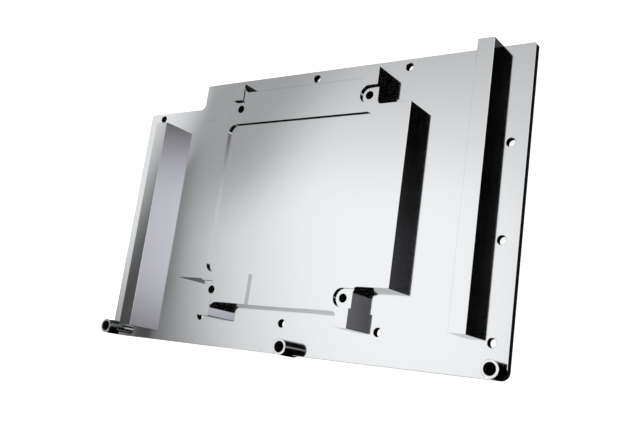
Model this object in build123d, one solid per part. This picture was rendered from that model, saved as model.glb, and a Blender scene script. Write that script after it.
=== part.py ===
from build123d import *
import os

# Cold plate of a graphics card's water block, one machined and plated copper piece.
# X runs along the card, Y to its back edge, and Z = 0 is the coolant face that seats on the cover.
# The origin is the middle of the base plate on that face. Sizes are in millimetres.

# Base plate
plate_length = 156.2
plate_depth = 96.8
plate_thickness = 2.5
plate_corner_radius = 0.6
notch_length = 28.4
notch_depth = 9.3

# Chip centre, from the middle of the plate
chip_offset_x = 0.7
chip_offset_y = 2.5

# Centre block, its heights measured from the top of the plate
block_length = 84.9
block_depth = 57.7
block_height = 6.7
column_length = 59.8
mill_radius = 2.0
wall_edge_radius = 0.2
edge_break = 0.1

# Raised feet and rails share one contact height above the plate.
# The feet reach furthest from the chip, and the column stops short of their tips.
contact_height = 7.0
foot_length = 4.5
foot_reach = 41.4
column_back_inset = 3.2
column_front_inset = 4.8

# Card screws: tapped holes in lands below the block's top
card_screw_spacing_x = 53.3
card_screw_spacing_y = 64.8
card_screw_diameter = 2.6
card_screw_depth = 6.0
land_diameter = 6.0
land_height = 5.8

# Chip pocket and the neck that opens it to the front
pocket_length = 60.0
pocket_depth = 53.0
pocket_corner_radius = 3.0
pocket_floor_height = 5.8
neck_length = 21.0

# Rails
left_rail_inset = 11.0
left_rail_width = 5.7
left_rail_front_inset = 3.4
left_rail_length = 77.5
right_rail_inset = 9.7
right_rail_width = 5.3
right_rail_front_inset = 10.8

# Standoffs on the front edge
standoff_diameter = 5.1
standoff_bore = 3.3
standoff_height = 5.8
middle_standoff_from_left = 84.2
middle_standoff_overhang = 0.5
bore_break = 0.2

# Cover screws: clearance holes round the plate
cover_hole_diameter = 2.7
cover_hole_right_inset = 5.05
cover_hole_front_inset = 9.8
cover_hole_back_inset = 2.65
cover_hole_left_inset = 7.0
cover_hole_left_back_inset = 11.6
cover_row_left_inset = 43.45
right_column_pitch = 28.5
row_count = 4
right_column_count = 3
left_column_count = 4

# Coolant side: finned chamber under the chip, and a channel along each rail
chamber_length = 44.0
chamber_depth = 40.0
chip_floor_thickness = 2.8
fin_thickness = 0.6
fin_gap = 0.6
fin_depth = 28.0
fin_recess = 1.5
rail_channel_width = 2.5
rail_channel_margin = 9.0
rail_roof = 2.0
branch_width = 4.5
branch_height = 1.2

# Worked out from the sizes above
left_edge = -plate_length / 2
right_edge = plate_length / 2
front_edge = -plate_depth / 2
back_edge = plate_depth / 2
block_top = plate_thickness + block_height
contact_top = plate_thickness + contact_height
land_top = plate_thickness + land_height
pocket_floor = plate_thickness + pocket_floor_height
standoff_top = plate_thickness + standoff_height
standoff_radius = standoff_diameter / 2
column_front = chip_offset_y - foot_reach + column_front_inset
column_back = chip_offset_y + foot_reach - column_back_inset
fin_pitch = fin_thickness + fin_gap
chamber_top = pocket_floor - chip_floor_thickness
plenum_depth = (chamber_depth - fin_depth) / 2


def rectangle(left, front, right, back):
    """A rectangle between two X and two Y values."""
    middle = Pos((left + right) / 2, (front + back) / 2)
    return middle * Rectangle(right - left, back - front)


def round_corners(sketch, corners, radius):
    """Rounds the vertices of a sketch that lie nearest to the given points."""
    for corner in corners:
        sketch = fillet(sketch.vertices().sort_by_distance(corner)[0], radius)
    return sketch


def prism(sketch, bottom, top):
    """The sketch as a solid between two heights."""
    return extrude(Pos(0, 0, bottom) * sketch, top - bottom)


def break_top_edges(solid):
    """A small chamfer round the highest face of a solid."""
    return chamfer(solid.faces().sort_by(Axis.Z)[-1].outer_wire().edges(), edge_break)


def mirrored(x, y):
    """The four points at plus and minus x and y from the chip's centre."""
    return [(chip_offset_x + i * x, chip_offset_y + j * y) for i in (-1, 1) for j in (-1, 1)]


def base_plate():
    """The plate with its back left notch and its rounded corners."""
    notch_right = left_edge + notch_length
    notch_front = back_edge - notch_depth
    sheet = rectangle(left_edge, front_edge, right_edge, back_edge)
    sheet -= rectangle(left_edge, notch_front, notch_right, back_edge)
    sheet = round_corners(sheet, [(notch_right, notch_front)], mill_radius)
    outer = [(left_edge, notch_front), (notch_right, back_edge), (right_edge, back_edge)]
    sheet = round_corners(sheet, outer, plate_corner_radius)
    under_standoffs = [(left_edge, front_edge), (right_edge, front_edge)]
    sheet = round_corners(sheet, under_standoffs, standoff_radius)
    return break_top_edges(prism(sheet, 0, plate_thickness))


def block_outline():
    """The centre block, its column and the four feet, seen from above."""
    half_column = column_length / 2
    foot_inner = half_column - foot_length
    outline = Pos(chip_offset_x, chip_offset_y) * Rectangle(block_length, block_depth)
    outline += rectangle(
        chip_offset_x - half_column, column_front, chip_offset_x + half_column, column_back
    )
    for x, y in mirrored(half_column - foot_length / 2, foot_reach / 2):
        outline += Pos(x, y) * Rectangle(foot_length, foot_reach)
    outline = round_corners(outline, mirrored(half_column, block_depth / 2), mill_radius)
    foot_roots = [
        (chip_offset_x + side * foot_inner, y)
        for side in (-1, 1)
        for y in (column_front, column_back)
    ]
    outline = round_corners(outline, foot_roots, mill_radius)
    outline = round_corners(outline, mirrored(block_length / 2, block_depth / 2), wall_edge_radius)
    foot_tips = mirrored(half_column, foot_reach) + mirrored(foot_inner, foot_reach)
    return round_corners(outline, foot_tips, wall_edge_radius)


def foot_tops():
    """The step that lifts each foot from the block's top to the contact height."""
    lowest = card_screw_spacing_y / 2
    strips = Sketch()
    for x, y in mirrored(column_length / 2 - foot_length / 2, (lowest + foot_reach) / 2):
        strips += Pos(x, y) * Rectangle(foot_length, foot_reach - lowest)
    strips = strips & block_outline()
    return prism(strips, plate_thickness, contact_top)


def screw_lands():
    """What is milled away over each card screw: a slot that opens at the column's side."""
    slots = Sketch()
    for x, y in mirrored(card_screw_spacing_x / 2, card_screw_spacing_y / 2):
        side = 1 if x > chip_offset_x else -1
        run_out = column_length / 2 - card_screw_spacing_x / 2 + land_diameter
        slots += Pos(x, y) * Circle(land_diameter / 2)
        slots += Pos(x + side * run_out / 2, y) * Rectangle(run_out, land_diameter)
    return prism(slots, land_top, contact_top)


def chip_pocket():
    """The shallow pocket that takes the chip's package, with its neck to the front."""
    pocket = RectangleRounded(pocket_length, pocket_depth, pocket_corner_radius)
    pocket = Pos(chip_offset_x, chip_offset_y) * pocket
    pocket += rectangle(
        chip_offset_x - neck_length / 2,
        column_front,
        chip_offset_x + neck_length / 2,
        chip_offset_y,
    )
    return prism(pocket, pocket_floor, contact_top)


def centre_block():
    """The raised block with its feet, lands and chip pocket."""
    block = break_top_edges(prism(block_outline(), plate_thickness, block_top))
    block += foot_tops()
    return block - screw_lands() - chip_pocket()


def rail(left, front, width, length):
    """One raised rail, standing on the plate."""
    outline = rectangle(left, front, left + width, front + length)
    outline = fillet(outline.vertices(), wall_edge_radius)
    return break_top_edges(prism(outline, plate_thickness, contact_top))


def rail_places():
    """Left side, front end, width and length of each rail."""
    right_rail_left = right_edge - right_rail_inset - right_rail_width
    right_rail_length = plate_depth - right_rail_front_inset
    return [
        (left_edge + left_rail_inset, front_edge + left_rail_front_inset,
         left_rail_width, left_rail_length),
        (right_rail_left, front_edge + right_rail_front_inset,
         right_rail_width, right_rail_length),
    ]


def standoff_places():
    """Centres of the three standoffs: two in the front corners, one over the front edge."""
    corner_y = front_edge + standoff_radius
    return [
        (left_edge + standoff_radius, corner_y),
        (left_edge + middle_standoff_from_left, corner_y - middle_standoff_overhang),
        (right_edge - standoff_radius, corner_y),
    ]


def standoff(x, y):
    """One tubular standoff, which runs down through the plate."""
    tube = Pos(x, y) * Cylinder(
        standoff_radius, standoff_top, align=(Align.CENTER, Align.CENTER, Align.MIN)
    )
    return break_top_edges(tube)


def cover_hole_places():
    """Centres of the clearance holes: front row, back row, right column and left column."""
    row_length = plate_length - cover_hole_right_inset - cover_row_left_inset
    row_pitch = row_length / (row_count - 1)
    row_x = [right_edge - cover_hole_right_inset - i * row_pitch for i in range(row_count)]
    front_y = front_edge + cover_hole_front_inset
    back_y = back_edge - cover_hole_back_inset
    left_x = left_edge + cover_hole_left_inset
    left_back_y = back_edge - cover_hole_left_back_inset
    left_pitch = (left_back_y - front_y) / (left_column_count - 1)
    places = [(x, front_y) for x in row_x]
    places += [(x, back_y) for x in row_x[1:]]
    places += [(row_x[0], front_y + i * right_column_pitch) for i in range(1, right_column_count)]
    places += [(left_x, front_y + i * left_pitch) for i in range(left_column_count)]
    return places


def round_hole(x, y, diameter, bottom, top, rim):
    """A drilled hole with a small countersunk rim at its top."""
    up = (Align.CENTER, Align.CENTER, Align.MIN)
    down = (Align.CENTER, Align.CENTER, Align.MAX)
    hole = Pos(x, y, bottom) * Cylinder(diameter / 2, top - bottom, align=up)
    hole += Pos(x, y, top) * Cone(diameter / 2, diameter / 2 + rim, rim, align=down)
    return hole


def drilled_holes():
    """Every round hole in the plate."""
    holes = Part()
    for x, y in cover_hole_places():
        holes += round_hole(x, y, cover_hole_diameter, 0, plate_thickness, edge_break)
    for x, y in standoff_places():
        holes += round_hole(x, y, standoff_bore, 0, standoff_top, bore_break)
    for x, y in mirrored(card_screw_spacing_x / 2, card_screw_spacing_y / 2):
        bottom = land_top - card_screw_depth
        holes += round_hole(x, y, card_screw_diameter, bottom, land_top, edge_break)
    return holes


def fins():
    """Parallel fins on the chamber's roof, under the chip."""
    count = int((chamber_length - fin_gap) / fin_pitch)
    first = chip_offset_x - (count - 1) * fin_pitch / 2
    stack = Sketch()
    for i in range(count):
        stack += Pos(first + i * fin_pitch, chip_offset_y) * Rectangle(fin_thickness, fin_depth)
    return prism(stack, fin_recess, chamber_top)


def finned_chamber():
    """The coolant chamber under the chip, with its fins left standing."""
    outline = RectangleRounded(chamber_length, chamber_depth, mill_radius)
    chamber = prism(Pos(chip_offset_x, chip_offset_y) * outline, 0, chamber_top)
    return chamber - fins()


def rail_channel(left, front, width, length):
    """A channel under one rail, and the two shallow branches that join it to the chamber."""
    middle = left + width / 2
    run = length - 2 * rail_channel_margin
    slot = Pos(middle, front + length / 2) * SlotOverall(run, rail_channel_width, rotation=90)
    channel = prism(slot, 0, contact_top - rail_roof)
    for end in (-1, 1):
        y = chip_offset_y + end * (fin_depth + plenum_depth) / 2
        branch = rectangle(
            min(middle, chip_offset_x), y - branch_width / 2,
            max(middle, chip_offset_x), y + branch_width / 2,
        )
        channel += prism(branch, 0, branch_height)
    return channel


def coolant_side():
    """Everything that is milled into the coolant face."""
    wet = finned_chamber()
    for place in rail_places():
        wet += rail_channel(*place)
    return wet


def cold_plate():
    """The whole machined piece."""
    plate = base_plate() + centre_block()
    for place in rail_places():
        plate += rail(*place)
    for x, y in standoff_places():
        plate += standoff(x, y)
    return plate - drilled_holes() - coolant_side()


os.makedirs("parts", exist_ok=True)
export_step(cold_plate(), "parts/cold_plate.step")
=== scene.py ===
from math import radians
import bpy
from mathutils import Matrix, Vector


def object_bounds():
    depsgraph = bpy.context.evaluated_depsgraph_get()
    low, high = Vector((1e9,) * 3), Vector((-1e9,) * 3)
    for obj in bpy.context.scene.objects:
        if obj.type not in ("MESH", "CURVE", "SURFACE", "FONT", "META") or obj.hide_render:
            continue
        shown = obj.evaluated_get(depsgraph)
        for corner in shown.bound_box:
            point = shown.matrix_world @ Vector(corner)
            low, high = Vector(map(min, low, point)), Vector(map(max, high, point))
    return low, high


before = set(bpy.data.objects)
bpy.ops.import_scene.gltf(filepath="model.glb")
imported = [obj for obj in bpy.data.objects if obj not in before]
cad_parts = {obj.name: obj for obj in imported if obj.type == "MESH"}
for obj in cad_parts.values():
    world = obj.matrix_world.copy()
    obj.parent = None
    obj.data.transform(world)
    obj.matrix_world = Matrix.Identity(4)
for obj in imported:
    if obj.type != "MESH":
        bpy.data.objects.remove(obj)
cad_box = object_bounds()

# The photograph's camera, in metres and degrees, in the part's frame
CAMERA_PLACE = (0.16093, -0.05645, 0.21031)
CAMERA_TURN = (17.546, 35.227, 9.995)
CAMERA_LENS_MM = 45.39
CAMERA_SENSOR_MM = 36.0
CAMERA_SHIFT = (0.0313, 0.0030)
CAMERA_NEAREST = 0.01

# Nickel plating, pale on the faces, with a near black painted shade down in the holes and round
# the rim
NICKEL = (0.713, 0.727, 0.737)
NICKEL_ROUGHNESS = 0.09
ROUGHNESS_SPREAD = 0.02
# Painted shade: near black colour, rougher and without specular, for the shade down the holes and
# the dark reflection round the rim
PAINTED_SHADE_COLOUR = (0.012, 0.012, 0.013)
PAINTED_SHADE_ROUGHNESS = 0.45
PAINTED_SHADE_SPECULAR = 0.0

# Where the painted shade is, in metres in the part's frame: on the walls of the base plate
# outside a middle rectangle, and all the way down the standoffs' bores and the card screw holes
PLATE_TOP = 0.00238
WALL_TILT = 0.3
MIDDLE_LEFT, MIDDLE_RIGHT = -0.0675, 0.070
MIDDLE_FRONT, MIDDLE_BACK = -0.0369, 0.044
STANDOFF_PLACES = [(-0.07555, -0.04585), (0.0061, -0.04635), (0.07555, -0.04585)]
BORE_REACH = 0.00183
SCREW_PLACES = [(-0.02595, -0.0299), (-0.02595, 0.0349), (0.02735, -0.0299), (0.02735, 0.0349)]
SCREW_REACH = 0.0014

# Slow clouds in the plating's gloss, and its fine grain
CLOUD_SCALE = 60.0
CLOUD_DETAIL = 3.0
CLOUD_RANGE = (0.3, 0.7)
GRAIN_SCALE = 2600.0
GRAIN_DETAIL = 2.0
GRAIN_HEIGHT = 0.000004
GRAIN_STRENGTH = 0.06

# Floor
FLOOR_HALF_SIZE = 3.0
FLOOR_DROP = 0.00003
FLOOR_GLOW = 0.95
WHITE = (1.0, 1.0, 1.0, 1.0)

# The studio round the part. A place in the studio is where its direction meets a plane one
# unit overhead: (across, along) = (x / z, y / z). Levels are brightness, where 1 is white.
# A direction lower than the horizon's height counts as at that height.
HORIZON_HEIGHT = 0.02
PLAIN = (1.0, 1.0, 1.0)
VIOLET = (0.97, 0.93, 1.0)
FAR_LEFT = (-60.0, 1.0, 0.0)
FAR_RIGHT = FAR_BACK = (60.0, 1.0, 0.0)
# Each patch covers what comes before it: name, level, tint, then its left, right, front and
# back edges, each as (place, softness round it, how far it leans per unit along the edge)
STUDIO_PATCHES = [
    ("hood", 0.0, PLAIN,
     (-1.50, 0.08, 0.0), (1.45, 0.10, 0.0), (-0.70, 0.10, 0.0), (1.30, 0.10, 0.0)),
    ("front_shade", 0.0, PLAIN,
     (-0.60, 0.10, 0.0), (0.90, 0.10, 0.0), (-1.15, 0.10, 0.0), (-0.50, 0.10, 0.0)),
    ("back_right_wall", 0.75, PLAIN,
     (1.95, 0.12, -1.0), FAR_RIGHT, (0.40, 0.10, 0.0), FAR_BACK),
    ("overhead_panel", 0.78, PLAIN,
     (-0.30, 0.10, 0.0), (0.20, 0.06, 0.0), (-0.30, 0.06, 0.0), (0.30, 0.06, 0.0)),
    ("right_strip", 1.25, PLAIN,
     (1.50, 0.05, 0.0), (3.00, 0.50, 0.0), (-0.50, 0.20, 0.0), (1.30, 0.30, 0.0)),
    ("back_skirt", 0.60, PLAIN,
     FAR_LEFT, FAR_RIGHT, (1.30, 0.10, 0.0), FAR_BACK),
    ("back_wall", 0.65, PLAIN,
     (-2.60, 0.30, 0.0), (-0.22, 0.15, 0.0), (0.33, 0.12, 0.0), (1.30, 0.30, 0.0)),
    ("back_shade", 0.03, PLAIN,
     (-0.80, 0.10, 0.0), (0.20, 0.10, 0.0), (0.75, 0.10, 0.0), (1.30, 0.10, 0.0)),
    ("softbox_fringe", 0.56, PLAIN,
     (-0.975, 0.18, -0.3), (-0.26, 0.25, -0.1), (-0.15, 0.25, 0.0), (0.40, 0.19, 0.0)),
    ("left_softbox", 1.23, PLAIN,
     (-0.84, 0.26, -0.3), (-0.26, 0.25, -0.1), (-0.15, 0.25, 0.0), (0.378, 0.17, -0.05)),
    ("back_gap", 0.44, PLAIN,
     (-1.50, 0.10, 0.5), (-1.02, 0.10, 0.55), (0.275, 0.10, 0.0), (0.90, 0.10, 0.0)),
    ("rail_shade", 0.16, PLAIN,
     (-1.11, 0.03, 0.0), (-1.02, 0.02, 0.0), (0.08, 0.06, 0.0), (0.40, 0.05, 0.0)),
    ("left_back_wall", 1.14, PLAIN,
     (-2.20, 0.10, 0.5), (-1.28, 0.06, 0.45), (0.45, 0.06, 0.0), (0.90, 0.10, 0.0)),
    ("right_softbox", 1.35, VIOLET,
     (0.738, 0.24, 0.19), (1.20, 0.50, 0.35), (-0.028, 0.12, 0.08), (0.185, 0.11, 0.19)),
]

# Reflector card beside the part's left edge. Its top edge is given as (place along it, height).
# Its lower half is darker to the front, and its upper half fades to the front and the top.
CARD_GAP = 0.038
CARD_TOP = [(-0.15, 0.0595), (0.030, 0.0595), (0.060, 0.070), (0.15, 0.075)]
CARD_FRONT_LEVEL = 0.36
CARD_BACK_LEVEL = 1.02
CARD_FADE = (-0.065, 0.015)
CARD_UPPER_LEVEL = 0.075
CARD_UPPER_FADE = (0.0235, 0.065)
CARD_UPPER_LEAN = 0.35
CARD_UPPER_START = (0.041, 0.0505)

# Dark cloths on the floor round the part: how far they are tucked under it and how far they
# reach, where the black corner ends, in metres, and how pale they are
CLOTH_TUCK = 0.0015
CLOTH_REACH = 0.04
CLOTH_CORNER = -0.030
CLOTH_BLACK, CLOTH_GREY = 0.0, 0.16

# A mix node's inputs (factor, first, second) and its output, by the kind of value it mixes
MIX_SOCKETS = {"FLOAT": ((0, 2, 3), 0), "RGBA": ((0, 6, 7), 2)}


def feed(tree, socket, value):
    """Links an input to another node's output, or sets it to a number or a colour."""
    if isinstance(value, bpy.types.NodeSocket):
        tree.links.new(value, socket)
    else:
        socket.default_value = value


def node(tree, kind, **values):
    """A shader node with its properties set and its inputs fed by name."""
    made = tree.nodes.new(kind)
    for name, value in values.items():
        if name in made.inputs:
            feed(tree, made.inputs[name], value)
        else:
            setattr(made, name, value)
    return made


def math_node(tree, operation, *values):
    """The result of a math node fed by outputs or numbers."""
    made = node(tree, "ShaderNodeMath", operation=operation)
    for socket, value in zip(made.inputs, values):
        feed(tree, socket, value)
    return made.outputs[0]


def ramp(tree, value, start, end, low=0.0, high=1.0):
    """From low before start to high past end, smooth between."""
    limits = {"From Min": start, "From Max": end, "To Min": low, "To Max": high}
    made = node(tree, "ShaderNodeMapRange", interpolation_type="SMOOTHSTEP", Value=value, **limits)
    return made.outputs["Result"]


def mix(tree, kind, factor, first, second, label=""):
    """The first value where the factor is 0 and the second where it is 1."""
    made = node(tree, "ShaderNodeMix", data_type=kind, label=label)
    slots, result = MIX_SOCKETS[kind]
    for slot, value in zip(slots, (factor, first, second)):
        feed(tree, made.inputs[slot], value)
    return made.outputs[result]


def split_axes(tree, vector):
    """The X, Y and Z of a vector."""
    return node(tree, "ShaderNodeSeparateXYZ", Vector=vector).outputs


def object_place(tree):
    """Where a point is on its own object, in metres."""
    return node(tree, "ShaderNodeTexCoord").outputs["Object"]


def make_camera():
    """The photograph's camera."""
    data = bpy.data.cameras.new("photo_camera")
    data.sensor_fit = "HORIZONTAL"
    data.sensor_width = CAMERA_SENSOR_MM
    data.lens = CAMERA_LENS_MM
    data.shift_x, data.shift_y = CAMERA_SHIFT
    data.clip_start = CAMERA_NEAREST
    camera = bpy.data.objects.new("photo_camera", data)
    camera.location = CAMERA_PLACE
    camera.rotation_euler = [radians(turn) for turn in CAMERA_TURN]
    bpy.context.scene.collection.objects.link(camera)
    bpy.context.scene.camera = camera


def band(tree, value, other, low_edge, high_edge):
    """1 between two edges, each a place, the softness round it and its lean per unit of other."""
    sides = []
    for (place, softness, lean), inward in ((low_edge, 1), (high_edge, -1)):
        leaned = math_node(tree, "SUBTRACT", value, math_node(tree, "MULTIPLY", other, lean))
        start, end = place - inward * softness, place + inward * softness
        sides.append(ramp(tree, leaned, start, end))
    return math_node(tree, "MULTIPLY", *sides)


def make_studio():
    """The studio as the world's light, and plain white where the camera sees past the part."""
    world = bpy.data.worlds.new("studio")
    world.use_nodes = True
    bpy.context.scene.world = world
    tree = world.node_tree
    tree.nodes.clear()
    x, y, z = split_axes(tree, node(tree, "ShaderNodeTexCoord").outputs["Generated"])
    height = math_node(tree, "MAXIMUM", z, HORIZON_HEIGHT)
    across = math_node(tree, "DIVIDE", x, height)
    along = math_node(tree, "DIVIDE", y, height)
    colour = WHITE
    for name, level, tint, left, right, front, back in STUDIO_PATCHES:
        columns = band(tree, across, along, left, right)
        rows = band(tree, along, across, front, back)
        mask = math_node(tree, "MULTIPLY", columns, rows)
        patch = (*[level * channel for channel in tint], 1.0)
        colour = mix(tree, "RGBA", mask, colour, patch, name)
    seen = node(tree, "ShaderNodeLightPath").outputs["Is Camera Ray"]
    colour = mix(tree, "RGBA", seen, colour, WHITE)
    light = node(tree, "ShaderNodeBackground", Color=colour, Strength=1.0)
    node(tree, "ShaderNodeOutputWorld", Surface=light.outputs[0])


def plane_object(name, corners):
    """A flat sheet with the given corners."""
    mesh = bpy.data.meshes.new(name)
    mesh.from_pydata(corners, [], [tuple(range(len(corners)))])
    made = bpy.data.objects.new(name, mesh)
    bpy.context.scene.collection.objects.link(made)
    return made


def show_in_metal_only(sheet):
    """Leaves a sheet in mirror images and hides it from all else."""
    sheet.visible_camera = False
    sheet.visible_diffuse = False
    sheet.visible_shadow = False


def new_material(name):
    """A material with no nodes yet, and its node tree."""
    material = bpy.data.materials.new(name)
    material.use_nodes = True
    material.node_tree.nodes.clear()
    return material, material.node_tree


def make_floor():
    """Pale floor, lifted to white for what sees it directly or in a mirror."""
    r = FLOOR_HALF_SIZE
    z = cad_box[0].z - FLOOR_DROP
    floor = plane_object("floor", [(-r, -r, z), (r, -r, z), (r, r, z), (-r, r, z)])
    material, tree = new_material("floor_white")
    path = node(tree, "ShaderNodeLightPath").outputs
    seen = math_node(tree, "MAXIMUM", path["Is Camera Ray"], path["Is Glossy Ray"])
    seen = math_node(tree, "MAXIMUM", seen, path["Is Transmission Ray"])
    strength = math_node(tree, "MULTIPLY", seen, FLOOR_GLOW)
    paint = node(tree, "ShaderNodeBsdfDiffuse", Color=WHITE)
    glow = node(tree, "ShaderNodeEmission", Color=WHITE, Strength=strength)
    both = node(tree, "ShaderNodeAddShader")
    feed(tree, both.inputs[0], paint.outputs[0])
    feed(tree, both.inputs[1], glow.outputs[0])
    node(tree, "ShaderNodeOutputMaterial", Surface=both.outputs[0])
    floor.data.materials.append(material)


def make_card():
    """White reflector standing at the part's left, seen only in the metal."""
    x = cad_box[0].x - CARD_GAP
    foot = [(x, CARD_TOP[0][0], 0.0), (x, CARD_TOP[-1][0], 0.0)]
    card = plane_object("reflector_card", foot + [(x, y, z) for y, z in reversed(CARD_TOP)])
    show_in_metal_only(card)
    material, tree = new_material("card_white")
    _, y, z = split_axes(tree, object_place(tree))
    lower = ramp(tree, y, *CARD_FADE, CARD_FRONT_LEVEL, CARD_BACK_LEVEL)
    leaned = math_node(tree, "SUBTRACT", z, math_node(tree, "MULTIPLY", y, CARD_UPPER_LEAN))
    upper = ramp(tree, leaned, *CARD_UPPER_FADE, CARD_BACK_LEVEL, CARD_UPPER_LEVEL)
    level = mix(tree, "FLOAT", ramp(tree, z, *CARD_UPPER_START), lower, upper)
    glow = node(tree, "ShaderNodeEmission", Color=WHITE, Strength=level)
    node(tree, "ShaderNodeOutputMaterial", Surface=glow.outputs[0])
    card.data.materials.append(material)


def make_cloths():
    """Dark cloths on the floor along the part's edges, seen only in the metal."""
    low, high = cad_box
    z = low.z - FLOOR_DROP / 2
    right, front, back = high.x - CLOTH_TUCK, low.y + CLOTH_TUCK, high.y - CLOTH_TUCK
    far_left, far_right = low.x - CLOTH_REACH, high.x + CLOTH_REACH
    far_front, far_back = low.y - CLOTH_REACH, high.y + CLOTH_REACH
    for name, shade, x1, x2, y1, y2 in (
        ("front_cloth", CLOTH_BLACK, far_left, far_right, far_front, front),
        ("corner_cloth", CLOTH_BLACK, right, far_right, front, CLOTH_CORNER),
        ("right_cloth", CLOTH_GREY, right, far_right, CLOTH_CORNER, back),
        ("back_cloth", CLOTH_GREY, far_left, far_right, back, far_back),
    ):
        cloth = plane_object(name, [(x1, y1, z), (x2, y1, z), (x2, y2, z), (x1, y2, z)])
        show_in_metal_only(cloth)
        material, tree = new_material(name)
        paint = node(tree, "ShaderNodeBsdfDiffuse", Color=(shade, shade, shade, 1.0))
        node(tree, "ShaderNodeOutputMaterial", Surface=paint.outputs[0])
        cloth.data.materials.append(material)


def within(tree, x, y, left, right, front, back):
    """1 inside a rectangle seen from above."""
    columns, rows = (
        math_node(
            tree, "MULTIPLY",
            math_node(tree, "GREATER_THAN", value, low),
            math_node(tree, "LESS_THAN", value, high),
        )
        for value, low, high in ((x, left, right), (y, front, back))
    )
    return math_node(tree, "MULTIPLY", columns, rows)


def near_any(tree, x, y, places, reach):
    """1 within reach of any of the places, seen from above."""
    found = 0.0
    for place_x, place_y in places:
        step_x = math_node(tree, "SUBTRACT", x, place_x)
        step_y = math_node(tree, "SUBTRACT", y, place_y)
        square = math_node(
            tree, "ADD",
            math_node(tree, "MULTIPLY", step_x, step_x),
            math_node(tree, "MULTIPLY", step_y, step_y),
        )
        found = math_node(tree, "MAXIMUM", found, math_node(tree, "LESS_THAN", square, reach ** 2))
    return found


def painted_shade_places(tree, place):
    """Painted shade mask: 1 round the plate's rim, down its cover holes, and down the bores and
    card screw holes.
    """
    x, y, z = split_axes(tree, place)
    normal = node(tree, "ShaderNodeNewGeometry").outputs["True Normal"]
    upward = math_node(tree, "ABSOLUTE", split_axes(tree, normal)["Z"])
    wall = math_node(tree, "LESS_THAN", upward, WALL_TILT)
    middle = within(tree, x, y, MIDDLE_LEFT, MIDDLE_RIGHT, MIDDLE_FRONT, MIDDLE_BACK)
    border = math_node(tree, "SUBTRACT", math_node(tree, "LESS_THAN", z, PLATE_TOP), middle)
    bores = math_node(
        tree, "MAXIMUM",
        near_any(tree, x, y, STANDOFF_PLACES, BORE_REACH),
        near_any(tree, x, y, SCREW_PLACES, SCREW_REACH),
    )
    return math_node(tree, "MAXIMUM", math_node(tree, "MULTIPLY", wall, border), bores)


def nickel():
    """Satin nickel plating with a fine grain, turned near black by a painted shade round the rim
    and down the holes.
    """
    material, tree = new_material("nickel_plate")
    place = object_place(tree)
    # The mask of the painted shade
    painted_shade = painted_shade_places(tree, place)
    cloud = node(
        tree, "ShaderNodeTexNoise", Vector=place, Scale=CLOUD_SCALE, Detail=CLOUD_DETAIL,
    )
    satin = ramp(
        tree, cloud.outputs["Fac"], *CLOUD_RANGE,
        NICKEL_ROUGHNESS - ROUGHNESS_SPREAD / 2, NICKEL_ROUGHNESS + ROUGHNESS_SPREAD / 2,
    )
    grain = node(
        tree, "ShaderNodeTexNoise", Vector=place, Scale=GRAIN_SCALE, Detail=GRAIN_DETAIL,
    )
    bump = node(
        tree, "ShaderNodeBump",
        Strength=GRAIN_STRENGTH, Distance=GRAIN_HEIGHT, Height=grain.outputs["Fac"],
    )
    # Where the painted shade mask is 1, the plating is painted near black, not metallic and
    # rougher
    inputs = {
        "Base Color": mix(tree, "RGBA", painted_shade, (*NICKEL, 1.0), (*PAINTED_SHADE_COLOUR, 1.0)),
        "Metallic": math_node(tree, "SUBTRACT", 1.0, painted_shade),
        "Roughness": mix(tree, "FLOAT", painted_shade, satin, PAINTED_SHADE_ROUGHNESS),
        "Specular IOR Level": PAINTED_SHADE_SPECULAR,
        "Normal": bump.outputs[0],
    }
    shader = node(tree, "ShaderNodeBsdfPrincipled", **inputs)
    node(tree, "ShaderNodeOutputMaterial", Surface=shader.outputs[0])
    return material


make_camera()
make_studio()
make_floor()
make_card()
make_cloths()
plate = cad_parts["cold_plate"]
plate.material_slots[0].material = nickel()

view = bpy.context.scene.view_settings
view.view_transform = "Standard"
